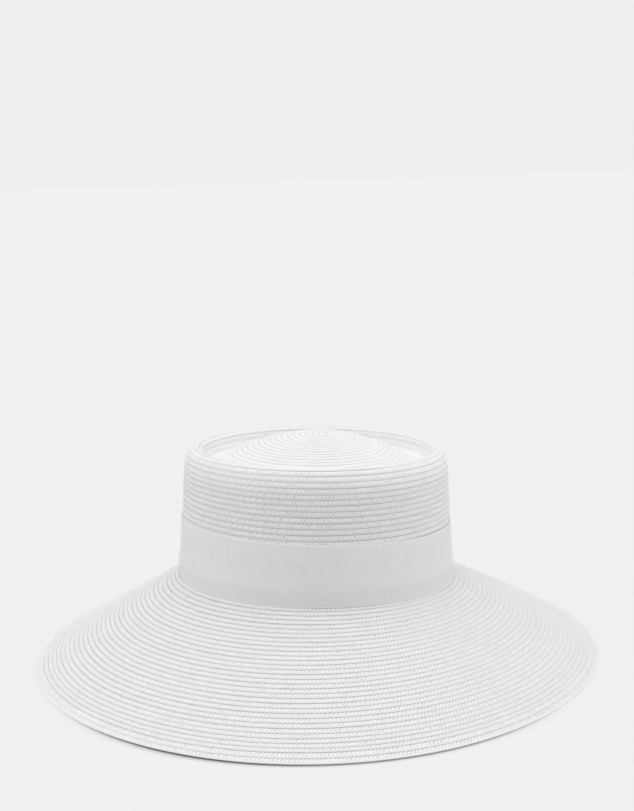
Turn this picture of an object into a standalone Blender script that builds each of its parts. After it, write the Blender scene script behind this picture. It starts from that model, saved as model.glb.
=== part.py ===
"""Wide-brimmed sun hat sewn from straw braid: a telescope crown, a drooping brim and a ribbon band.

The hat stands on its brim's edge. +Z is up, the front is at -Y, and +X is the side on the right
seen from the front. All lengths are in metres.
"""

import math

import bpy
from mathutils import Matrix, Vector

# Crown: an oval whose half width is the first value and whose half length adds the second
HEAD_HALF_WIDTH = 0.0857
HEAD_EXTRA_LENGTH = 0.0153
WALL_HEIGHT = 0.0757
WALL_TAPER = 0.0032
RIM_WIDTH = 0.0102
RIM_RISE = 0.0034
VALLEY_WIDTH = 0.0103
TIP_ABOVE_RIM = 0.0077
DOME_DROP = 0.0165
STRAW_THICKNESS = 0.002

# The crown stands a little out of upright on its soft brim
LEAN_TO_SIDE = math.radians(1.85)
LEAN_TO_BACK = math.radians(1.2)

# Brim: horizontal runs from the crown's wall to the edge, and the height that it falls through
BRIM_SIDE_RUN = 0.0904
BRIM_END_RUN = 0.1049
BRIM_DROP = 0.0499
BRIM_BOW = 0.04
EDGE_RISE = 0.0016
EDGE_FLAT = 0.003

# Ribbon round the foot of the crown
RIBBON_WIDTH = 0.0355
RIBBON_THICKNESS = 0.001

SEAM_GAP = 0.0003

# Faces round the oval, and along each stretch of the outlines
SIDES = 72
WALL_STEPS = 4
RIM_STEPS = 6
VALLEY_STEPS = 5
DOME_STEPS = 6
RIBBON_STEPS = 2
BRIM_SHARES = (0.0, 0.1, 0.22, 0.36, 0.52, 0.68, 0.84, 1.0)

# Lengths of the valley's two handles, as shares of its width
RIM_HANDLE = 0.87
DOME_HANDLE = 0.68

# Step in share and in turn over which the brim's slope is read
SLOPE_STEP = 0.01

SHARP_ANGLE = math.radians(40)

STRAW_COLOR = (0.84, 0.84, 0.83, 1.0)
RIBBON_COLOR = (0.76, 0.76, 0.75, 1.0)


def clear_scene():
    for obj in list(bpy.data.objects):
        bpy.data.objects.remove(obj, do_unlink=True)


def plain_material(name, color, roughness):
    material = bpy.data.materials.new(name)
    material.use_nodes = True
    shader = material.node_tree.nodes["Principled BSDF"]
    shader.inputs["Base Color"].default_value = color
    shader.inputs["Roughness"].default_value = roughness
    shader.inputs["Metallic"].default_value = 0.0
    return material


def shares(steps):
    return [step / steps for step in range(steps + 1)]


def turn_inward(along):
    """The unit vector to the hollow side of an outline that runs up the wall and in to the tip."""
    return Vector((-along.y, along.x)).normalized()


def wall_outline(depth):
    """The crown's wall from the brim seam to the shoulder, as (half width, height) points."""
    slope = Vector((-WALL_TAPER, WALL_HEIGHT))
    foot = Vector((HEAD_HALF_WIDTH, 0.0))
    inward = Vector((-depth, 0.0))
    return [foot + slope * share + inward for share in shares(WALL_STEPS)]


def rim_centre():
    return Vector((HEAD_HALF_WIDTH - WALL_TAPER - RIM_WIDTH / 2, WALL_HEIGHT))


def rim_outline(depth):
    """The rolled rim, half an ellipse over the shoulder."""
    centre = rim_centre()
    across = RIM_WIDTH / 2 - depth
    rise = RIM_RISE - depth
    points = []
    for share in shares(RIM_STEPS):
        turn = math.pi * share
        points.append(centre + Vector((across * math.cos(turn), rise * math.sin(turn))))
    return points


def dome_edge_half_width():
    return rim_centre().x - RIM_WIDTH / 2 - VALLEY_WIDTH


def dome_height(half_width):
    tip = WALL_HEIGHT + RIM_RISE + TIP_ABOVE_RIM
    return tip - DOME_DROP * (half_width / dome_edge_half_width()) ** 2


def dome_direction(half_width):
    """The way up the dome towards the tip, as a unit vector in the outline's plane."""
    slope = 2 * DOME_DROP * half_width / dome_edge_half_width() ** 2
    return Vector((-1.0, slope)).normalized()


def valley_outline(depth):
    """The gutter between rim and dome, a curve with a handle at each end."""
    edge = dome_edge_half_width()
    start = rim_centre() - Vector((RIM_WIDTH / 2, 0.0))
    end = Vector((edge, dome_height(edge)))
    first = start - Vector((0.0, RIM_HANDLE * VALLEY_WIDTH))
    second = end - dome_direction(edge) * DOME_HANDLE * VALLEY_WIDTH
    points = []
    for share in shares(VALLEY_STEPS):
        rest = 1 - share
        point = (start * rest**3 + first * 3 * rest**2 * share
                 + second * 3 * rest * share**2 + end * share**3)
        along = ((first - start) * rest**2 + (second - first) * 2 * rest * share
                 + (end - second) * share**2)
        points.append(point + turn_inward(along) * depth)
    return points


def dome_outline(depth):
    """The dome from the valley up to the last ring before the tip."""
    edge = dome_edge_half_width()
    points = []
    for step in range(DOME_STEPS):
        half_width = edge * (1 - step / DOME_STEPS)
        point = Vector((half_width, dome_height(half_width)))
        points.append(point + turn_inward(dome_direction(half_width)) * depth)
    return points


def crown_outline(depth):
    """Outline of the crown, depth under its outer face. Each stretch starts where the last one ends."""
    return (wall_outline(depth)[:-1] + rim_outline(depth)[:-1]
            + valley_outline(depth)[:-1] + dome_outline(depth))


def oval_ring(half_width, height, half_length=None):
    """One ring of points round the oval."""
    if half_length is None:
        half_length = half_width + HEAD_EXTRA_LENGTH
    ring = []
    for side in range(SIDES):
        turn = 2 * math.pi * side / SIDES
        ring.append(Vector((half_width * math.cos(turn), half_length * math.sin(turn), height)))
    return ring


def shell_object(name, rings, closed_round, material, first_tip=None, last_tip=None):
    """A body skinned over rings of points that run from its outer face to its inner one."""
    points = [point for ring in rings for point in ring]
    faces = []
    last = len(rings) - 1
    for row in range(last + 1 if closed_round else last):
        lower = row * SIDES
        upper = (row + 1) % len(rings) * SIDES
        for side in range(SIDES):
            beside = (side + 1) % SIDES
            faces.append((lower + side, lower + beside, upper + beside, upper + side))
    if first_tip is not None:
        tip = len(points)
        points.append(first_tip)
        faces += [((side + 1) % SIDES, side, tip) for side in range(SIDES)]
    if last_tip is not None:
        tip = len(points)
        points.append(last_tip)
        base = last * SIDES
        faces += [(base + side, base + (side + 1) % SIDES, tip) for side in range(SIDES)]
    mesh = bpy.data.meshes.new(name)
    mesh.from_pydata([tuple(point) for point in points], [], faces)
    mesh.materials.append(material)
    mesh.shade_smooth()
    mesh.set_sharp_from_angle(angle=SHARP_ANGLE)
    obj = bpy.data.objects.new(name, mesh)
    bpy.context.scene.collection.objects.link(obj)
    return obj


def crown_placement():
    """Where the crown's own frame lies: its seam plane above the floor, out of upright by the lean."""
    lean = Matrix.Rotation(LEAN_TO_SIDE, 4, "Y") @ Matrix.Rotation(-LEAN_TO_BACK, 4, "X")
    return lean @ Matrix.Translation((0.0, 0.0, BRIM_DROP))


def make_crown(material):
    outer = [oval_ring(point.x, point.y) for point in crown_outline(0.0)]
    inner = [oval_ring(point.x, point.y) for point in crown_outline(STRAW_THICKNESS)]
    rings = outer[::-1] + inner
    tip = Vector((0.0, 0.0, dome_height(0.0)))
    under_tip = tip - Vector((0.0, 0.0, STRAW_THICKNESS))
    crown = shell_object("crown", [ring[::-1] for ring in rings], False, material, tip, under_tip)
    crown.matrix_world = crown_placement()
    return crown


def brim_point(share, turn, placement):
    """A point of the brim's upper face, from the seam at share 0 to the edge at share 1."""
    half_length = HEAD_HALF_WIDTH + HEAD_EXTRA_LENGTH
    seam = placement @ Vector((HEAD_HALF_WIDTH * math.cos(turn), half_length * math.sin(turn),
                               -SEAM_GAP))
    edge = Vector(((HEAD_HALF_WIDTH + BRIM_SIDE_RUN) * math.cos(turn),
                   (half_length + BRIM_END_RUN) * math.sin(turn), EDGE_RISE))
    bow = BRIM_BOW * share * (1 - share)
    point = seam.lerp(edge, share + bow)
    point.z = seam.z + (edge.z - seam.z) * (share - bow)
    return point


def brim_inward(share, turn, placement):
    """The unit vector from the brim's upper face to its underside."""
    along = (brim_point(share + SLOPE_STEP, turn, placement)
             - brim_point(share - SLOPE_STEP, turn, placement))
    around = (brim_point(share, turn + SLOPE_STEP, placement)
              - brim_point(share, turn - SLOPE_STEP, placement))
    return around.cross(along).normalized()


def make_brim(material):
    placement = crown_placement()
    turns = [2 * math.pi * side / SIDES for side in range(SIDES)]
    upper = [[brim_point(share, turn, placement) for turn in turns] for share in BRIM_SHARES]
    under = []
    for share, ring in zip(BRIM_SHARES[1:-1], upper[1:-1]):
        under.append([point + brim_inward(share, turn, placement) * STRAW_THICKNESS
                      for point, turn in zip(ring, turns)])
    edge_half_width = HEAD_HALF_WIDTH + BRIM_SIDE_RUN
    edge_half_length = HEAD_HALF_WIDTH + HEAD_EXTRA_LENGTH + BRIM_END_RUN
    edge_foot = oval_ring(edge_half_width, 0.0, edge_half_length)
    flat_inside = oval_ring(edge_half_width - EDGE_FLAT, 0.0, edge_half_length - EDGE_FLAT)
    collar = [placement @ point for point in oval_ring(HEAD_HALF_WIDTH - STRAW_THICKNESS, -SEAM_GAP)]
    rings = upper + [edge_foot, flat_inside] + under[::-1] + [collar]
    return shell_object("brim", [ring[::-1] for ring in rings], True, material)


def make_ribbon_band(material):
    """The ribbon, a closed loop that follows the wall's slope from the seam upwards."""
    slope = WALL_TAPER / WALL_HEIGHT
    inside = []
    outside = []
    for share in shares(RIBBON_STEPS):
        height = RIBBON_WIDTH * share
        half_width = HEAD_HALF_WIDTH - slope * height + SEAM_GAP
        inside.append(oval_ring(half_width, height))
        outside.append(oval_ring(half_width + RIBBON_THICKNESS, height))
    band = shell_object("ribbon_band", outside + inside[::-1], True, material)
    band.matrix_world = crown_placement()
    return band


def main():
    clear_scene()
    straw = plain_material("white_straw", STRAW_COLOR, 0.6)
    grosgrain = plain_material("white_ribbon", RIBBON_COLOR, 0.75)
    make_crown(straw)
    make_brim(straw)
    make_ribbon_band(grosgrain)


main()
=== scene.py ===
"""Droop brim hat: rows of sewn straw braid, a grosgrain band, and the light and floor around it.

The shapes are worked out in millimetres and turned to metres when a mesh is made. +Z is up, the
front of the hat is at -Y, and +X is the side on the right seen from the front. Turns are counted
from +X towards +Y, so the front is at -90 degrees.
"""

import math

import bpy
import numpy as np
from mathutils import Matrix, Vector


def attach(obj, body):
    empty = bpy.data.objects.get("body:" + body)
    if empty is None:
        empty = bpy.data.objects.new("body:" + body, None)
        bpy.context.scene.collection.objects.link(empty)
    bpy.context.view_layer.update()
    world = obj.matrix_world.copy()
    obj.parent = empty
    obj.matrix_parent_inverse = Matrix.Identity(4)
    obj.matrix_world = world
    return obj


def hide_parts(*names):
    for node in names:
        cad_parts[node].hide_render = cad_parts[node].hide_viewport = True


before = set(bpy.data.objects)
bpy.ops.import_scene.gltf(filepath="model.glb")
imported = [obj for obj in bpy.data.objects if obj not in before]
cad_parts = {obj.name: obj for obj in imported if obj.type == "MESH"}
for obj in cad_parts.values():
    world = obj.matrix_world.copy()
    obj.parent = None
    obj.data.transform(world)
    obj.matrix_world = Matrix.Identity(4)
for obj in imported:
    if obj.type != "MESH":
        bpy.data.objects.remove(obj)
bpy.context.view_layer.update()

MM = 0.001
FULL_TURN = 2 * math.pi

# Crown, as in the part's source: an oval, half width first, with the extra half length
HEAD_HALF_WIDTH = 85.7
HEAD_EXTRA_LENGTH = 15.3
HEAD_HALF_LENGTH = HEAD_HALF_WIDTH + HEAD_EXTRA_LENGTH
WALL_HEIGHT = 75.7
WALL_TAPER = 3.2
RIM_RISE = 3.4
RIM_HANDLE = 0.87
DOME_HANDLE = 0.68
TIP_ABOVE_RIM = 7.7
DOME_DROP = 16.5

# The wall curves in to the rim over its topmost rows, so the rim stands in from the wall
SHOULDER_INSET = 6.7
SHOULDER_HEIGHT = 10.5
RIM_INSIDE = 5.0
VALLEY_WIDTH = 8.8
LEAN_TO_SIDE = math.radians(1.85)
LEAN_TO_BACK = math.radians(1.2)

# Points along each stretch of the crown's outline
DOME_POINTS = 120
VALLEY_POINTS = 60
RIM_POINTS = 30
ROLL_POINTS = 60

# Brim, within a millimetre of the part's source
BRIM_SIDE_RUN = 91.2
BRIM_END_RUN = 104.9
BRIM_DROP = 50.8
BRIM_BOW = 0.04
EDGE_RISE = 1.6

# The brim hangs a little hollow on the left, towards the back
LEFT_SAG = 0.075
LEFT_SAG_TURN = math.radians(165)
LEFT_SAG_REACH = math.radians(75)

# The edge row settles this far onto the floor, and the brim stands off it a little at the front
EDGE_SETTLE = 0.62
FRONT_LIFT = 0.46
FRONT_LIFT_TURN = math.radians(-108)
FRONT_LIFT_REACH = math.radians(75)

# The brim reaches a little further out in front than behind
FRONT_REACH = 6.0
FRONT_REACH_TURN = math.radians(-86)
FRONT_REACH_WIDTH = math.radians(75)

# Rows of braid, counted from the tip outwards along the front
ROWS_TO_SEAM = 49
ROWS_TO_EDGE = 82
FIRST_ROW_START = 0.15
LAST_ROW_END = ROWS_TO_EDGE - 0.5
CROWN_ROW_PITCH = 3.449
BRAID_VISIBLE = 3.46
TIP_EXTRA_LENGTH = 6.5
TIP_SHIFT = 6.0

# Widths of the brim's outermost rows, as shares of a usual row, from the edge inwards
EDGE_ROW_SHARES = (1.05, 1.12, 0.88, 0.94, 0.92)

# Steps in row and in turn over which the hat's slope is read
ROW_STEP = 0.16
TURN_STEP = 0.008

# Braid cross-section: across from the line where the row comes out, and height over the surface
BRAID_SECTION = (
    (-1.4, -0.75),
    (-0.1, -0.35),
    (0.75, 0.08),
    (1.6, 0.32),
    (2.4, 0.42),
    (3.05, 0.32),
    (3.42, 0.0),
    (3.35, -0.4),
    (1.8, -0.6),
    (0.0, -1.0),
    (-1.4, -1.35),
)
BRAID_TOP_POINTS = 7
BRAID_MIDDLE_HEIGHT = -0.5

# The edge row is folded under, so it is twice as thick
EDGE_SECTION = (
    (-3.0, -0.7),
    (-1.4, -0.42),
    (-0.1, -0.18),
    (0.9, 0.05),
    (1.9, 0.25),
    (2.8, 0.38),
    (3.25, 0.30),
    (3.5, 0.0),
    (3.5, -0.6),
    (3.2, -1.15),
    (2.6, -1.45),
    (1.2, -1.6),
    (-0.6, -1.75),
    (-3.0, -1.5),
)
EDGE_TOP_POINTS = 8
EDGE_STEPS = 405
EDGE_START_TURN = math.pi / 2 + 0.3
EDGE_TUCK = 8.0

# Lengths over which the spiral's two ends thin out, and how thin they get
TIP_FADE = 5.0
END_FADE = 45.0
THINNEST = 0.08

# Points in a turn of the spiral: at the stretch's first row, and more for each row after it
CROWN_TURN_POINTS = 44, 2.25
BRIM_TURN_POINTS = 154, 3.0

# How much of the cross-section's height each row keeps: the dome is pressed flatter than the wall
RELIEF_ROWS = (0, 15, 18, 23, 24.5, 26, 28, 48, 50, 82)
RELIEF = (0.36, 0.36, 0.15, 0.15, 0.4, 0.7, 1.0, 1.0, 0.55, 0.55)

# The rows of the brim and the top lie flatter to the right of the front, those of the wall to
# both sides. A row that is pressed wholly flat loses the last share of its height.
FLAT_SHARE = 0.85
FLAT_TURN = math.radians(-12)
FLAT_REACH = math.radians(90)
WALL_FLAT_SHARE = 0.3
WALL_FLAT_TURNS = math.radians(-155), math.radians(-20)
WALL_FLAT_REACH = math.radians(65)
PRESSED_LOSS = 0.8

# How strongly the plait's painted shade and highlights show, from the left of the hat, at cosine
# -1, to the right of it: most on the left, where the light shows the plait up
SHADE_BY_SIDE_COSINES = (-1, -0.5, 0, 1)
SHADE_BY_SIDE = (3.2, 2.0, 1.0, 0.85)

# Waves that the rows wander in: waves to a row, where they start, and how far, in rows
WANDER = ((2.37, 0.4, 0.016), (5.83, 2.1, 0.012), (11.3, 4.0, 0.008))

# How far rows lie out of true, in rows. The wall's run a little downhill to the right, and those
# of the brim and of the shoulder bulge out to the left of the front.
WALL_ASKEW = 0.2
BRIM_ASKEW = 0.06
BRIM_BULGE = 0.22
BRIM_BULGE_TURN = math.radians(-132)
BRIM_BULGE_REACH = 1.0
SHOULDER_ASKEW = 0.12
SHOULDER_BULGE = 0.13
SHOULDER_BULGE_TURN = math.radians(-160)
SHOULDER_BULGE_REACH = 1.4

# Ribbon
RIBBON_WIDTH = 36.0
RIBBON_THICKNESS = 0.35
RIBBON_STAND_OFF = 0.4
RIBBON_STEPS = 300

# Its foot sinks in beside the brim's first row, and its upper edge stands higher on the left
RIBBON_FOOT = 1.0
RIBBON_TILT = 1.7
RIBBON_TILT_TURN = math.radians(20)

# The end laps over the start at the back, and steps up onto it over a short turn
RIBBON_JOIN_TURN = math.radians(100)
RIBBON_LAP = 22.0
RIBBON_STEP_TURN = 0.06
RIBBON_STEP = RIBBON_THICKNESS + 0.15

# Heights up the ribbon at which it has points, closest at its two woven edges
RIBBON_UPS = (
    0.0, 0.012, 0.03, 0.1, 0.18, 0.26, 0.34, 0.45, 0.56, 0.68, 0.8, 0.9, 0.97, 0.988, 1.0,
)

# It swells out above its foot, eases in and out along its middle, and hugs the wall at the top
SWELL = 0.85
SWELL_UP = 0.24
SWELL_REACH = 0.12
EASE = 0.06
EASE_REACH = 0.4
EASE_WAVES = 7
HUG = 0.22
HUG_FROM = 0.93

# Stitches in the lapped end: how many, from where to where, and the length, thickness and lift
BAND_STITCHES = 9
BAND_STITCH_UPS = 0.08, 0.92
BAND_STITCH_LENGTH = 0.056
BAND_STITCH_TURN = RIBBON_JOIN_TURN + 0.21
BAND_STITCH_RINGS = 5
BAND_STITCH_SIDES = 8
THREAD_RADIUS = 0.16
THREAD_END_RADIUS = 0.08
THREAD_CLEARANCE = 0.12
THREAD_LIFT = 0.25

# Length of one stitch of the plait
STITCH = 2.27

BLACK = (0.0, 0.0, 0.0)
WHITE = (1.0, 1.0, 1.0, 1.0)
STRAW = (0.925, 0.923, 0.912)
RIBBON = (0.83, 0.829, 0.819)
THREAD = (0.66, 0.66, 0.65), (0.84, 0.84, 0.83)

# Rows over which each zone of the finish comes in, and over which it goes out again
ZONES = {
    "dome": (None, (15.0, 19.0)),
    "top": (None, (24.5, 27.5)),
    "gutter": ((17.0, 19.0), (23.0, 24.5)),
    "rim": ((23.6, 24.4), (26.6, 27.4)),
    "shoulder": ((25.5, 26.8), (28.5, 31.5)),
    "wall": ((26.6, 27.4), (48.6, 49.4)),
    "first_rows": ((48.0, 49.0), (50.5, 54.5)),
    "by_ribbon": ((48.6, 49.4), (49.0, 54.0)),
    "brim": ((48.6, 49.4), None),
}

# What the braid's finish has all over, and what each zone adds to it
# Whiteness: the straw's own colour all over, with painted light on the top, the shoulder and in
# the gutter, and painted shade on the rim, the wall, the brim and next to the ribbon
WHITENESS_AND_PAINTED_LIGHT = {
    "all": 0.935,
    "top": 0.051,
    "gutter": 0.035,
    "rim": -0.03,
    "shoulder": 0.11,
    "wall": -0.061,
    "by_ribbon": -0.04,
    "brim": -0.043,
}
# The wall is painted a little lighter where the plait's painted shade is stronger
SHADE_BY_SIDE_WHITENESS = 0.001
SEWN_AND_SHADOW_LINE = {"all": 0.07, "shoulder": 0.09, "wall": 0.15, "brim": 0.18, "first_rows": -0.05}
SEWN_AND_SHADOW_LINE_ON_DOME = 0.48
SEWN_AND_SHADOW_LINE_WIDTH = {"all": 0.22, "dome": 0.12}
SEWN_AND_SHADOW_LINE_DOTS = {"all": 0.25, "brim": 0.25}
# Painted shade in the plait's ticks, notches and pinholes, and a painted highlight on its strands
TICK_SHADE = {"all": 0.065, "wall": 0.115, "brim": 0.145}
NOTCH_SHADE = 0.09
PINHOLE_SHADE = {"all": 0.05, "wall": 0.19}
STRAND_HIGHLIGHT = {"all": 0.01, "shoulder": 0.05, "wall": 0.05, "brim": 0.05}
STRAND_SLANT = {"all": 1.1, "wall": 0.6}
STRAND_HEIGHT = {"all": 0.32, "wall": -0.08}
# How much the plait's painted shade and highlights grow with that strength, all over and on the
# wall
SHADE_BY_SIDE_GAIN = {"all": 0.3, "wall": 0.6}
GRAIN = {"all": 0.12, "wall": 0.14}
FIBRE = 0.04
BEAD_LIGHT_AND_SHADE = 0.09
RIBBON_FOOT_SHADOW = 0.45
# Painted shade on the brim where it is pressed flat, to the right of the front
PRESSED_BRIM_SHADE = 0.02

# Paper under and behind the hat. It shades off inside an oval, in metres, as large as the brim.
PAPER = (0.82, 0.82, 0.82)
PAPER_WHITE = 0.863
FLOOR_OVAL = 0.177, 0.21
FLOOR_GLOW = 0.8

# Where the edge bears hardest on the floor, and how dark the shadow painted on the floor there is
CONTACT_TURN = math.radians(-94)
CONTACT_SHADOW = 0.4

# Camera, in metres, worked out from the photo's outlines
CAMERA_LENS = 72.12
CAMERA_SENSOR = 36.0
CAMERA_SHIFT = 0.001423
CAMERA_PLACE = (-0.03104, -1.00687, 0.30481)
CAMERA_RIGHT = (0.99869519, -0.04027013, -0.03140439)
CAMERA_UP = (0.03695516, 0.14547548, 0.98867143)
CAMERA_FORWARD = (0.03524535, 0.98854196, -0.14677385)


# Surface of the hat


def unit(vectors):
    length = np.linalg.norm(vectors, axis=-1, keepdims=True)
    return vectors / np.maximum(length, 1e-9)


def length_along(points):
    """Length run from the first point to each point."""
    steps = np.linalg.norm(np.diff(points, axis=0), axis=1)
    return np.concatenate([[0.0], np.cumsum(steps)])


def hump(turn, middle, reach):
    """1 at the middle turn, falling smoothly to 0 at the reach to both sides of it."""
    away = np.abs((turn - middle + math.pi) % FULL_TURN - math.pi)
    return np.cos(np.clip(away / reach, 0, 1) * math.pi / 2) ** 2


def crown_outline():
    """The crown's outer face from the tip out and down to the seam: half widths and heights."""
    shoulder = WALL_HEIGHT - SHOULDER_HEIGHT
    rim_middle = HEAD_HALF_WIDTH - WALL_TAPER * shoulder / WALL_HEIGHT - SHOULDER_INSET
    dome_edge = rim_middle - RIM_INSIDE - VALLEY_WIDTH
    tip = WALL_HEIGHT + RIM_RISE + TIP_ABOVE_RIM
    half = np.linspace(0.0, dome_edge, DOME_POINTS)
    dome = np.stack([half, tip - DOME_DROP * (half / dome_edge) ** 2], axis=1)
    slope = np.array([-1.0, 2 * DOME_DROP / dome_edge])
    slope = slope / np.linalg.norm(slope)
    start = np.array([rim_middle - RIM_INSIDE, WALL_HEIGHT])
    end = dome[-1]
    first = start - np.array([0.0, RIM_HANDLE * VALLEY_WIDTH])
    second = end - slope * DOME_HANDLE * VALLEY_WIDTH
    t = np.linspace(1.0, 0.0, VALLEY_POINTS)[:, None]
    rest = 1 - t
    valley = start * rest**3 + first * 3 * rest**2 * t + second * 3 * rest * t**2 + end * t**3
    turn = np.linspace(math.pi, math.pi / 2, RIM_POINTS)
    rim = np.stack(
        [rim_middle + RIM_INSIDE * np.cos(turn), WALL_HEIGHT + RIM_RISE * np.sin(turn)], axis=1
    )
    turn = np.linspace(math.pi / 2, 0.0, ROLL_POINTS)
    drop = RIM_RISE + SHOULDER_HEIGHT
    roll = np.stack(
        [rim_middle + SHOULDER_INSET * np.cos(turn), shoulder + drop * np.sin(turn)], axis=1
    )
    wall = np.array([[HEAD_HALF_WIDTH, 0.0]])
    points = np.concatenate([dome, valley[1:], rim[1:], roll[1:], wall])
    return length_along(points), points[:, 0], points[:, 1], dome_edge


OUTLINE_ALONG, OUTLINE_HALF, OUTLINE_HEIGHT, DOME_EDGE = crown_outline()
TIP_ROW_LENGTH = OUTLINE_ALONG[-1] - CROWN_ROW_PITCH * ROWS_TO_SEAM
CROWN_PLACE = np.array(
    Matrix.Rotation(LEAN_TO_SIDE, 4, "Y")
    @ Matrix.Rotation(-LEAN_TO_BACK, 4, "X")
    @ Matrix.Translation((0.0, 0.0, BRIM_DROP))
)


def place_on_brim(points):
    """Points of the crown's own frame, moved to where the crown stands on the brim."""
    return points @ CROWN_PLACE[:3, :3].T + CROWN_PLACE[:3, 3]


def crown_face(row, turn):
    along = np.clip(TIP_ROW_LENGTH + CROWN_ROW_PITCH * row, 0.0, None)
    half = np.interp(along, OUTLINE_ALONG, OUTLINE_HALF)
    height = np.interp(along, OUTLINE_ALONG, OUTLINE_HEIGHT)
    reach = np.clip(half / DOME_EDGE, 0.0, 1.0)
    more = (HEAD_EXTRA_LENGTH - TIP_EXTRA_LENGTH) * np.sin(math.pi / 2 * reach)
    half_length = half + TIP_EXTRA_LENGTH + more
    shift = TIP_SHIFT * (1 - reach) ** 2
    local = np.stack([half * np.cos(turn) + shift, half_length * np.sin(turn), height], axis=-1)
    return place_on_brim(local)


def brim_share(row):
    """How far out on the brim a row's lip lies, from 0 at the seam to 1 at the edge."""
    rows = ROWS_TO_EDGE - ROWS_TO_SEAM
    past = -2.0
    marks = np.concatenate([[past], np.arange(len(EDGE_ROW_SHARES) + 1), [rows]])
    shares = [[past * EDGE_ROW_SHARES[0]], [0.0], np.cumsum(EDGE_ROW_SHARES), [rows]]
    return 1 - np.interp(ROWS_TO_EDGE - row, marks, np.concatenate(shares)) / rows


def brim_face(row, turn):
    share = brim_share(row)
    level = np.zeros_like(turn)
    further = FRONT_REACH * hump(turn, FRONT_REACH_TURN, FRONT_REACH_WIDTH)
    seam = place_on_brim(
        np.stack([HEAD_HALF_WIDTH * np.cos(turn), HEAD_HALF_LENGTH * np.sin(turn), level], axis=-1)
    )
    edge = np.stack(
        [
            (HEAD_HALF_WIDTH + BRIM_SIDE_RUN) * np.cos(turn),
            (HEAD_HALF_LENGTH + BRIM_END_RUN + further) * np.sin(turn),
            level + EDGE_RISE,
        ],
        axis=-1,
    )
    sag = LEFT_SAG * hump(turn, LEFT_SAG_TURN, LEFT_SAG_REACH)
    bow = (BRIM_BOW - sag) * share * (1 - share)
    point = seam + (edge - seam) * (share + bow)[..., None]
    point[..., 2] = seam[..., 2] + (edge[..., 2] - seam[..., 2]) * (share - bow)
    lift = FRONT_LIFT * hump(turn, FRONT_LIFT_TURN, FRONT_LIFT_REACH)
    point[..., 2] += (lift - EDGE_SETTLE) * np.clip(share, 0.0, 1.2) ** 3
    return point


def hat_face(row, turn):
    """The middle surface that the braid is sewn along, at any row and turn."""
    on_crown = (row < ROWS_TO_SEAM)[..., None]
    return np.where(on_crown, crown_face(row, turn), brim_face(row, turn))


def hat_normal(row, turn):
    across = hat_face(row + ROW_STEP, turn) - hat_face(row - ROW_STEP, turn)
    around = hat_face(row, turn + TURN_STEP) - hat_face(row, turn - TURN_STEP)
    normal = np.cross(across, around)
    at_tip = np.linalg.norm(normal, axis=-1, keepdims=True) < 1e-3
    return np.where(at_tip, CROWN_PLACE[:3, 2], unit(normal))


# Meshes


def mesh_piece(name, points, faces, material, facts=None):
    """A mesh object from points in millimetres, with the named facts stored on its points."""
    mesh = bpy.data.meshes.new(name)
    mesh.from_pydata((np.asarray(points) * MM).tolist(), [], faces)
    for key, values in (facts or {}).items():
        values = np.asarray(values, dtype=np.float32)
        kind, slot = ("FLOAT", "value") if values.ndim == 1 else ("FLOAT_VECTOR", "vector")
        mesh.attributes.new(key, kind, "POINT").data.foreach_set(slot, values.ravel())
    mesh.materials.append(material)
    mesh.shade_smooth()
    return linked(name, mesh)


def linked(name, data):
    """A new object of the scene."""
    obj = bpy.data.objects.new(name, data)
    bpy.context.scene.collection.objects.link(obj)
    return obj


def skin_faces(rings, ring_size):
    """Faces over a run of closed rings, with one face over each open end."""
    start = np.arange(rings - 1)[:, None] * ring_size
    side = np.arange(ring_size)[None, :]
    beside = (side + 1) % ring_size
    above = start + ring_size
    faces = np.stack([start + side, start + beside, above + beside, above + side], axis=-1)
    last = (rings - 1) * ring_size
    ends = [list(range(ring_size))[::-1], [last + side for side in range(ring_size)]]
    return faces.reshape(-1, 4).tolist() + ends


def pressed_flat(lips, turns):
    """How far the rows are pressed flat at a place, from 0 to 1."""
    on_wall = np.interp(lips, (25, 28, 48, 50), (0, 1, 1, 0))
    off_wall = FLAT_SHARE * hump(turns, FLAT_TURN, FLAT_REACH)
    both_sides = sum(hump(turns, middle, WALL_FLAT_REACH) for middle in WALL_FLAT_TURNS)
    return off_wall * (1 - on_wall) + WALL_FLAT_SHARE * on_wall * both_sides


def braid_run(name, lips, turns, section, top_points, material, fade_start=0.0, fade_end=0.0):
    """Braid laid along the hat, one cross-section for each lip position and turn."""
    section = np.array(section)
    count = len(lips)
    size = len(section)
    along = length_along(hat_face(lips - 0.5, turns))
    slim = np.ones(count)
    if fade_start:
        slim *= np.clip(along / fade_start, THINNEST, 1.0)
    if fade_end:
        slim *= np.clip((along[-1] - along) / fade_end, THINNEST, 1.0)
    across = section[None, :, 0] / BRAID_VISIBLE
    rows = lips[:, None] - 1 + across
    spread = np.repeat(turns[:, None], size, axis=1)
    flat = pressed_flat(lips, turns)
    slim = slim * np.interp(lips, RELIEF_ROWS, RELIEF) * (1 - PRESSED_LOSS * flat)
    over_middle = (section[None, :, 1] - BRAID_MIDDLE_HEIGHT) * slim[:, None]
    height = BRAID_MIDDLE_HEIGHT + over_middle
    points = hat_face(rows, spread) + hat_normal(rows, spread) * height[..., None]
    place = [
        np.repeat(along[:, None], size, axis=1),
        np.repeat(across, count, axis=0),
        np.repeat(lips[:, None], size, axis=1),
    ]
    shade_by_side = np.interp(np.cos(turns), SHADE_BY_SIDE_COSINES, SHADE_BY_SIDE)
    facts = {
        "braid": np.stack(place, axis=-1).reshape(-1, 3),
        "upper": np.tile(np.arange(size) < top_points, count).astype(float),
        "pressed": np.repeat(flat, size),
        "shade_by_side": np.repeat(shade_by_side, size),
    }
    return mesh_piece(name, points.reshape(-1, 3), skin_faces(count, size), material, facts)


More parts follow.
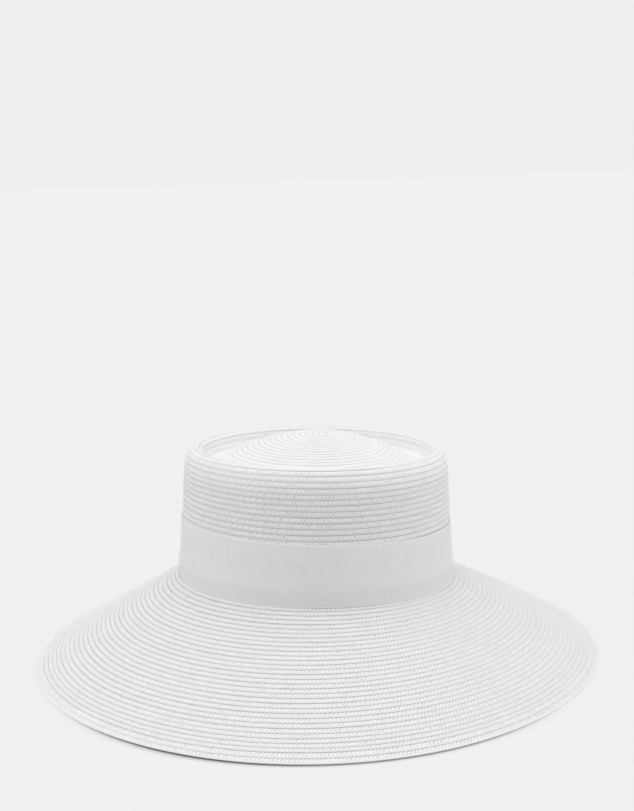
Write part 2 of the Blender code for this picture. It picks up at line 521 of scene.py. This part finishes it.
def spiral(first, last):
    """Lips and turns of a run that starts at the front and goes clockwise seen from above."""
    lips = [first]
    while lips[-1] < last:
        row = lips[-1]
        if row < ROWS_TO_SEAM:
            at_start, more = CROWN_TURN_POINTS
            points = at_start + more * row
        else:
            at_start, more = BRIM_TURN_POINTS
            points = at_start + more * (row - ROWS_TO_SEAM)
        lips.append(min(row + 1 / points, last))
    lips = np.array(lips)
    turns = -math.pi / 2 - FULL_TURN * lips
    wander = sum(np.sin(rate * FULL_TURN * lips + start) * size for rate, start, size in WANDER)
    on_wall = np.interp(lips, (24, 30, 44, 49), (0, 1, 1, 0))
    on_brim = np.interp(lips, (49, 55, 76, 81.5), (0, 1, 1, 0))
    on_shoulder = np.interp(lips, (24.5, 26.5, 30, 34), (0, 1, 1, 0))
    bulge = BRIM_BULGE * hump(turns, BRIM_BULGE_TURN, BRIM_BULGE_REACH)
    shoulder_bulge = SHOULDER_BULGE * hump(turns, SHOULDER_BULGE_TURN, SHOULDER_BULGE_REACH)
    askew = (
        WALL_ASKEW * np.cos(turns) * on_wall
        + (BRIM_ASKEW + bulge) * on_brim
        + (SHOULDER_ASKEW + shoulder_bulge) * on_shoulder
    )
    return lips + wander + askew, turns


# Finishes


class Wire:
    """One value of a finish. Sums on it add Math nodes, and add() makes any other node."""

    def __init__(self, tree, socket=None):
        self.tree = tree
        self.socket = socket

    def add(self, kind, settings=None, sockets=None, out=0):
        """Makes a node, settings first and then sockets. Gives one output, or all for None."""
        node = self.tree.nodes.new(kind)
        for key, value in (settings or {}).items():
            setattr(node, key, value)
        for key, value in (sockets or {}).items():
            if isinstance(value, Wire):
                self.tree.links.new(value.socket, node.inputs[key])
            else:
                node.inputs[key].default_value = value
        if out is None:
            return [Wire(self.tree, socket) for socket in node.outputs]
        return Wire(self.tree, node.outputs[out])

    def math(self, operation, *values):
        return self.add("ShaderNodeMath", {"operation": operation}, dict(enumerate(values)))

    def __add__(self, other):
        return self.math("ADD", self, other)

    __radd__ = __add__

    def __sub__(self, other):
        return self.math("SUBTRACT", self, other)

    def __rsub__(self, other):
        return self.math("SUBTRACT", other, self)

    def __mul__(self, other):
        return self.math("MULTIPLY", self, other)

    __rmul__ = __mul__

    def __truediv__(self, other):
        return self.math("DIVIDE", self, other)

    def __pow__(self, other):
        return self.math("POWER", self, other)

    def size(self):
        return self.math("ABSOLUTE", self)

    def whole(self):
        return self.math("FLOOR", self)

    def sine(self):
        return self.math("SINE", self)

    def at_least(self, low):
        return self.math("MAXIMUM", self, low)

    def between(self, low, high):
        """0 below low, 1 above high, and a smooth rise between them."""
        return self.add(
            "ShaderNodeMapRange",
            {"interpolation_type": "SMOOTHSTEP"},
            {"Value": self, "From Min": low, "From Max": high},
        )

    def parts(self):
        return self.add("ShaderNodeSeparateXYZ", None, {0: self}, out=None)

    def vector_math(self, operation, *others, out=0):
        values = dict(enumerate((self, *others)))
        return self.add("ShaderNodeVectorMath", {"operation": operation}, values, out)

    def stretched(self, x, y, z):
        return self.vector_math("MULTIPLY", (x, y, z))

    def tint(self, low, high):
        """A colour from low at 0 to high at 1."""
        colours = {0: self, 6: (*low, 1.0), 7: (*high, 1.0)}
        return self.add("ShaderNodeMix", {"data_type": "RGBA"}, colours, out=2)

    def chance(self, other):
        """A number from 0 to 1 that looks random, for each pair of numbers."""
        both = self.add("ShaderNodeCombineXYZ", None, {0: self, 1: other})
        return self.add("ShaderNodeTexWhiteNoise", {"noise_dimensions": "2D"}, {"Vector": both})

    def cloud(self, scale=1.0, detail=2.0):
        settings = {"Vector": self, "Scale": scale, "Detail": detail}
        return self.add("ShaderNodeTexNoise", None, settings)


def new_finish(name):
    """A material without nodes yet, and a blank wire to start its finish from."""
    material = bpy.data.materials.new(name)
    material.use_nodes = True
    material.node_tree.nodes.clear()
    return material, Wire(material.node_tree)


def fact(blank, name, out):
    """A fact stored on a piece's points: its vector or its value."""
    return blank.add("ShaderNodeAttribute", {"attribute_name": name}, out=out)


def cloth(blank, colour, height, roughness, specular):
    """Closes a finish: matte cloth of this colour, with this relief in millimetres."""
    sockets = {"Base Color": colour, "Roughness": roughness, "Specular IOR Level": specular}
    if height is not None:
        relief = {"Height": height * MM, "Strength": 1.0, "Distance": 1.0}
        sockets["Normal"] = blank.add("ShaderNodeBump", None, relief)
    surface = blank.add("ShaderNodeBsdfPrincipled", None, sockets)
    blank.add("ShaderNodeOutputMaterial", None, {"Surface": surface}, out=None)


def zone_shares(row):
    """How much each zone of the hat holds at a row, from 0 to 1."""
    shares = {}
    for zone, (coming, going) in ZONES.items():
        if coming is None:
            shares[zone] = 1 - row.between(*going)
        elif going is None:
            shares[zone] = row.between(*coming)
        else:
            shares[zone] = row.between(*coming) * (1 - row.between(*going))
    return shares


def by_zone(zones, amounts):
    """The amount that holds all over, and what each zone adds to it."""
    total = amounts["all"]
    for zone, amount in amounts.items():
        if zone != "all":
            total = zones[zone] * amount + total
    return total


def braid_finish(name):
    """Plaited straw: pillow-like strands with a painted highlight, painted shade in the ticks and
    pinholes between them, and a sewn line darkened with painted shadow.
    """
    material, blank = new_finish(name)
    braid = fact(blank, "braid", "Vector")
    upper = fact(blank, "upper", "Fac")
    proud = 1 - fact(blank, "pressed", "Fac")
    shade_by_side = fact(blank, "shade_by_side", "Fac")
    along, across, row = braid.parts()
    zones = zone_shares(row)
    on_wall = zones["wall"]

    # Strands slant one way above the middle of the row and the other way below it
    drift = braid.stretched(0.06, 0.0, 0.0).cloud(1.0, 1.0) * 1.3
    fold = 0.5 - (across - 0.5).size()
    slanted = along / STITCH + drift - fold * by_zone(zones, STRAND_SLANT)
    stitch = (slanted + 0.5).whole()
    to_tick = slanted - stitch
    away = to_tick.size() * 2
    pillow = away * (2 - away)
    band = across.between(0.02, 0.2) * (1 - across.between(0.5, 0.85))

    # Painted shade in the ticks between the strands, darker at some crossings by chance. On the
    # left of the wall every second crossing is darker.
    on_left = (shade_by_side - 1).between(0.0, 0.7)
    paired = on_left * on_wall
    every_second = stitch - (stitch * 0.5).whole() * 2
    luck = stitch.chance(3.0) * (1 - paired) + every_second * paired
    tick_width = (0.85 - across * 1.1).at_least(0.15)
    tick = (1 - away.between(0.0, tick_width)) * (1 - across.between(0.42, 0.75)) * upper
    tick = tick * (0.3 + luck * 0.7)
    tick = tick * (1 - on_wall * (1 - across.between(0.08, 0.34)) * 0.4)
    # Painted shade in notches on the wall's lips between the stitches
    notch = (1 - away.between(0.1, 0.7)) * across.between(0.55, 0.75) * upper * on_wall

    # Some crossings leave a pinhole, sunk a little in the relief and painted dark as the shade
    # inside it
    drop = (across - 0.45) * BRAID_VISIBLE
    side = to_tick * STITCH
    reach = (side * side + drop * drop) ** 0.5
    hole = (1 - reach.between(0.1, 0.52)) * stitch.chance(8.0).between(0.45, 0.9) * upper

    # Under the lip of the next row in runs a dark line: the sewing thread sinks into it, and its
    # darkness is painted shadow of that lip, broken into dots at the stitches
    line_width = by_zone(zones, SEWN_AND_SHADOW_LINE_WIDTH)
    line = across.between(-0.3, -0.1) * (1 - across.between(0.0, line_width)) * upper
    dotted = away.between(0.15, 0.75)
    sewn = line * (1 - dotted * by_zone(zones, SEWN_AND_SHADOW_LINE_DOTS))
    line_shade = zones["dome"] * SEWN_AND_SHADOW_LINE_ON_DOME / (1 + shade_by_side) + by_zone(zones, SEWN_AND_SHADOW_LINE)
    line_shade = line_shade * (0.1 + proud * 0.9) * (1 - on_left * 0.12 - paired * 0.4)

    # Painted shadow: a dark dotted line along the seam, where the ribbon's foot shades the brim,
    # fainter to both sides
    from_seam = row - 1 + across - ROWS_TO_SEAM
    ribbon_foot_shadow = from_seam.between(0.0, 0.1) * (1 - from_seam.between(0.35, 0.7)) * upper
    ribbon_foot_shadow = ribbon_foot_shadow * (1 - dotted * 0.4) * (1 - on_left * 0.6) * proud

    grain = braid.stretched(1.1, 5.0, 3.1).cloud(1.0, 3.0)
    fibre = braid.cloud(0.9, 3.0)
    # Painted light and shade: a speckle of lighter and darker flecks that stands in for the lit
    # beads of the plait on the left of the wall
    bead_light_and_shade = braid.stretched(0.5, 1.6, 3.7).cloud(1.0, 1.0).between(0.36, 0.64)
    bead_light_and_shade = (bead_light_and_shade - 0.5) * (shade_by_side - 1).between(0.7, 1.8) * on_wall
    # How strongly the plait's painted shade and highlights show: weaker where rows off the wall
    # are pressed flat, and stronger on the left
    weave = on_wall.at_least(0.35 + proud * 0.65)
    weave = weave * (1 + (shade_by_side - 1) * by_zone(zones, SHADE_BY_SIDE_GAIN))
    # The straw's own whiteness, fibre and grain, with painted shade in the sewn line, pinholes,
    # ticks and notches, along the ribbon's foot and on the pressed brim, painted highlights on the
    # strands, and painted light and shade in the wall's beads
    shade = (
        by_zone(zones, WHITENESS_AND_PAINTED_LIGHT)
        + on_wall * shade_by_side * SHADE_BY_SIDE_WHITENESS
        - sewn * line_shade
        - hole * by_zone(zones, PINHOLE_SHADE)
        - tick * weave * by_zone(zones, TICK_SHADE)
        - notch * shade_by_side * NOTCH_SHADE
        + pillow * band * weave * upper * by_zone(zones, STRAND_HIGHLIGHT)
        - ribbon_foot_shadow * RIBBON_FOOT_SHADOW
        - zones["brim"] * (1 - proud) * PRESSED_BRIM_SHADE
        + (fibre - 0.5) * FIBRE
        + (grain - 0.5) * by_zone(zones, GRAIN)
        + bead_light_and_shade * BEAD_LIGHT_AND_SHADE
    )
    height = (
        pillow * (band * upper + (1 - upper) * 0.35) * by_zone(zones, STRAND_HEIGHT)
        - hole * 0.3
        - sewn * 0.06
        - (1 - away.between(0.2, 0.8)) * across.between(0.8, 1.0) * 0.1
        + grain * 0.02
    )
    cloth(blank, shade.tint(BLACK, STRAW), height, roughness=0.62, specular=0.35)
    return material


def ribbon_finish(name):
    """Grosgrain: fine upright ribs, two woven edges, and a faint unevenness from weaving, with
    painted shade between the ribs and under the swell, and a painted highlight along the edges.
    """
    material, blank = new_finish(name)
    weave = fact(blank, "weave", "Vector")
    along, up, _ = weave.parts()
    rib_spacing = 0.85
    rib = (along * (FULL_TURN / rib_spacing)).sine() * 0.5 + 0.5
    selvedge = (up - 0.5).size().between(0.474, 0.482)
    uneven = weave.stretched(0.12, 4.0, 0.0).cloud(1.0, 3.0)
    streak = weave.stretched(0.6, 1.0, 0.0).cloud(1.0, 2.0)
    # Painted shade in the hollow just under the swell above the foot
    shade_under_swell = up.between(0.02, 0.16) * (1 - up.between(0.2, 0.4))
    # The ribbon's own uneven tone, with painted shade in the grooves between the ribs and a
    # painted highlight along the woven edges
    shade = (
        0.93
        - (1 - rib) * 0.02 * (1 - selvedge)
        + (uneven - 0.5) * 0.09
        + (streak - 0.5) * 0.035
        - shade_under_swell * (0.01 + uneven * 0.02)
        + selvedge * 0.07
    )
    height = rib * 0.05 * (1 - selvedge) + selvedge * 0.08
    cloth(blank, shade.tint(BLACK, RIBBON), height, roughness=0.7, specular=0.3)
    return material


def thread_finish(name):
    material, blank = new_finish(name)
    place = blank.add("ShaderNodeTexCoord", out="Object")
    cloth(blank, place.cloud(2500.0).tint(*THREAD), None, roughness=0.75, specular=0.3)
    return material


# Pieces


def make_crown(finish):
    lips, turns = spiral(FIRST_ROW_START, ROWS_TO_SEAM)
    return braid_run(
        "braided_crown", lips, turns, BRAID_SECTION, BRAID_TOP_POINTS, finish, fade_start=TIP_FADE
    )


def make_brim(finish):
    lips, turns = spiral(ROWS_TO_SEAM, LAST_ROW_END)
    return braid_run(
        "braided_brim", lips, turns, BRAID_SECTION, BRAID_TOP_POINTS, finish, fade_end=END_FADE
    )


def make_edge(finish):
    """The last row, an oval folded under along the edge. Its end is tucked under its start."""
    tuck_turn = EDGE_TUCK / (HEAD_HALF_WIDTH + BRIM_SIDE_RUN)
    end_turn = EDGE_START_TURN - FULL_TURN - tuck_turn
    turns = np.linspace(EDGE_START_TURN, end_turn, EDGE_STEPS)
    lips = np.full(EDGE_STEPS, float(ROWS_TO_EDGE))
    return braid_run(
        "edge_row", lips, turns, EDGE_SECTION, EDGE_TOP_POINTS, finish, fade_end=EDGE_TUCK
    )


def ribbon_point(turn, up, out):
    """A point of the ribbon: at a turn, a share up its width, and outwards from the wall."""
    width = RIBBON_WIDTH - RIBBON_TILT * np.cos(turn - RIBBON_TILT_TURN)
    height = width * up - RIBBON_FOOT
    half = HEAD_HALF_WIDTH - WALL_TAPER * height / WALL_HEIGHT + out
    half_length = half + HEAD_EXTRA_LENGTH
    local = np.stack([half * np.cos(turn), half_length * np.sin(turn), height], axis=-1)
    return place_on_brim(local)


def ribbon_stand_off(turn, up):
    """How far the ribbon's inner face stands out from the wall."""
    lap_start = RIBBON_JOIN_TURN + FULL_TURN - RIBBON_STEP_TURN
    lap = np.clip((turn - lap_start) / RIBBON_STEP_TURN, 0.0, 1.0)
    lap = (3 * lap**2 - 2 * lap**3) * RIBBON_STEP
    swell = SWELL * np.exp(-(((up - SWELL_UP) / SWELL_REACH) ** 2))
    swell = swell * (0.75 + 0.25 * np.sin(2 * turn + 0.6))
    ease = EASE * np.sin(EASE_WAVES * turn + 1.2) * np.exp(-(((up - 0.5) / EASE_REACH) ** 2))
    hug = HUG * np.clip((up - HUG_FROM) / (1 - HUG_FROM), 0.0, 1.0)
    return RIBBON_STAND_OFF + lap + swell + ease - hug


def make_ribbon(finish):
    """The ribbon as one thin closed run round the crown, and its length."""
    half_width = HEAD_HALF_WIDTH + 1
    half_length = half_width + HEAD_EXTRA_LENGTH
    radius_at_join = math.hypot(
        half_width * math.sin(RIBBON_JOIN_TURN), half_length * math.cos(RIBBON_JOIN_TURN)
    )
    end_turn = RIBBON_JOIN_TURN + FULL_TURN + RIBBON_LAP / radius_at_join
    turns = np.linspace(RIBBON_JOIN_TURN, end_turn, RIBBON_STEPS)
    turn, up = np.meshgrid(turns, RIBBON_UPS, indexing="ij")
    out = ribbon_stand_off(turn, up)
    inner = ribbon_point(turn, up, out)
    outer = ribbon_point(turn, up, out + RIBBON_THICKNESS)
    ring = np.concatenate([outer, inner[:, ::-1]], axis=1)
    ring_size = ring.shape[1]
    middle = ribbon_point(turns, np.full(RIBBON_STEPS, 0.5), np.full(RIBBON_STEPS, 1.0))
    along = length_along(middle)
    up_ring = np.concatenate([up, up[:, ::-1]], axis=1)
    along_ring = np.repeat(along[:, None], ring_size, axis=1)
    weave = np.stack([along_ring, up_ring, np.zeros_like(up_ring)], axis=-1)
    obj = mesh_piece(
        "grosgrain_band",
        ring.reshape(-1, 3),
        skin_faces(RIBBON_STEPS, ring_size),
        finish,
        {"weave": weave.reshape(-1, 3)},
    )
    return obj, float(along[-1])


def make_band_stitches(finish):
    """A short column of stitches that holds the ribbon's lapped end."""
    points = []
    faces = []
    turn = BAND_STITCH_TURN
    outward = np.array([math.cos(turn), math.sin(turn), 0.0])
    sideways = np.array([-math.sin(turn), math.cos(turn), 0.0])
    surface = RIBBON_STAND_OFF + 2 * RIBBON_THICKNESS + THREAD_CLEARANCE
    for middle in np.linspace(*BAND_STITCH_UPS, BAND_STITCHES):
        base = len(points)
        for ring in range(BAND_STITCH_RINGS):
            share = ring / (BAND_STITCH_RINGS - 1)
            up = middle + BAND_STITCH_LENGTH * (share - 0.5)
            out = surface + THREAD_LIFT * math.sin(math.pi * share)
            centre = ribbon_point(np.array(turn), np.array(up), np.array(out))
            at_end = ring in (0, BAND_STITCH_RINGS - 1)
            radius = THREAD_END_RADIUS if at_end else THREAD_RADIUS
            for side in range(BAND_STITCH_SIDES):
                angle = FULL_TURN * side / BAND_STITCH_SIDES
                spoke = math.cos(angle) * outward + math.sin(angle) * sideways
                points.append(centre + radius * spoke)
        stitch_faces = skin_faces(BAND_STITCH_RINGS, BAND_STITCH_SIDES)
        faces += [[base + index for index in face] for face in stitch_faces]
    return mesh_piece("band_stitches", np.array(points), faces, finish)


def make_out(obj):
    """Turns a closed piece's faces outwards."""
    mesh = obj.data
    corners = np.empty(len(mesh.vertices) * 3)
    mesh.vertices.foreach_get("co", corners)
    corners = corners.reshape(-1, 3)
    mesh.calc_loop_triangles()
    triangles = np.empty(len(mesh.loop_triangles) * 3, dtype=np.int32)
    mesh.loop_triangles.foreach_get("vertices", triangles)
    a, b, c = (corners[triangles.reshape(-1, 3)[:, corner]] for corner in range(3))
    if np.einsum("ij,ij->i", a, np.cross(b, c)).sum() < 0:
        mesh.flip_normals()


# Floor, light and camera


def make_floor():
    """A wide pale floor that glows evenly round the hat and is plain paper under it, with a thin
    shadow painted just outside the front of the edge.
    """
    size = 30.0
    corners = [(-size, -size, 0), (size, -size, 0), (size, size, 0), (-size, size, 0)]
    mesh = bpy.data.meshes.new("floor")
    mesh.from_pydata(corners, [], [(0, 1, 2, 3)])
    material, blank = new_finish("studio_paper")
    half_width, half_length = FLOOR_OVAL
    place = blank.add("ShaderNodeTexCoord", out="Object")
    place = place.stretched(1 / half_width, 1 / half_length, 0.0)
    reach = place.vector_math("LENGTH", out=1)
    # The hat leans on the floor along its front, a little to the left, and a thin shadow is
    # painted on the floor just outside the edge there
    front = (math.cos(CONTACT_TURN), math.sin(CONTACT_TURN), 0.0)
    contact = place.vector_math("DOT_PRODUCT", front, out=1).between(0.45, 1.0)
    outside = reach.between(0.955 + contact * 0.035, 0.995 + contact * 0.035)
    contact_shadow = 1 - (1 - reach.between(1.0, 1.03)) * contact * CONTACT_SHADOW
    paper = blank.add("ShaderNodeBsdfDiffuse", None, {"Color": contact_shadow.tint(BLACK, PAPER)})
    glow = blank.add("ShaderNodeEmission", None, {"Color": WHITE, "Strength": PAPER_WHITE})
    both = {0: outside * FLOOR_GLOW, 1: paper, 2: glow}
    surface = blank.add("ShaderNodeMixShader", None, both)
    blank.add("ShaderNodeOutputMaterial", None, {"Surface": surface}, out=None)
    mesh.materials.append(material)
    return linked("floor", mesh)


def make_light():
    """A soft dome of light, strongest overhead, with a low panel right and a broad one left."""
    world = bpy.data.worlds.new("studio")
    bpy.context.scene.world = world
    world.use_nodes = True
    world.node_tree.nodes.clear()
    blank = Wire(world.node_tree)
    side, _, up = blank.add("ShaderNodeTexCoord", out="Generated").parts()
    right = side.at_least(0.0)
    left = (0 - side).at_least(0.0)
    low = (1 - up.size()) ** 2
    overhead = up * up * 1.66 + 0.15
    right_panel = right * right * 0.3 + right**6 * low * 2.2
    left_panel = left * left * 0.2 + left**4 * 0.9
    glow = overhead + right_panel + left_panel
    lit = blank.add("ShaderNodeBackground", None, {"Color": WHITE, "Strength": glow})
    seen = blank.add("ShaderNodeBackground", None, {"Color": WHITE, "Strength": PAPER_WHITE})
    camera_ray = blank.add("ShaderNodeLightPath", out="Is Camera Ray")
    surface = blank.add("ShaderNodeMixShader", None, {0: camera_ray, 1: lit, 2: seen})
    blank.add("ShaderNodeOutputWorld", None, {"Surface": surface}, out=None)


def make_camera():
    data = bpy.data.cameras.new("camera")
    data.sensor_fit = "AUTO"
    data.sensor_width = CAMERA_SENSOR
    data.lens = CAMERA_LENS
    data.shift_x = CAMERA_SHIFT
    data.clip_start = 0.05
    data.clip_end = 100.0
    camera = linked("camera", data)
    axes = Matrix((Vector(CAMERA_RIGHT), Vector(CAMERA_UP), -Vector(CAMERA_FORWARD)))
    camera.matrix_world = Matrix.Translation(CAMERA_PLACE) @ axes.transposed().to_4x4()
    bpy.context.scene.camera = camera


def main():
    straw = braid_finish("sewn_straw_braid")
    grosgrain = ribbon_finish("grosgrain_ribbon")
    thread = thread_finish("sewing_thread")
    crown = make_crown(straw)
    brim = make_brim(straw)
    edge = make_edge(straw)
    ribbon, ribbon_length = make_ribbon(grosgrain)
    stitches = make_band_stitches(thread)
    for piece in (crown, brim, edge, ribbon, stitches):
        make_out(piece)
        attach(piece, "root")
    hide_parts("crown")
    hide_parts("brim")
    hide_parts("ribbon_band")
    print("ribbon length mm", round(ribbon_length, 1))
    make_floor()
    make_light()
    make_camera()
    bpy.context.scene.view_settings.view_transform = "Standard"


main()
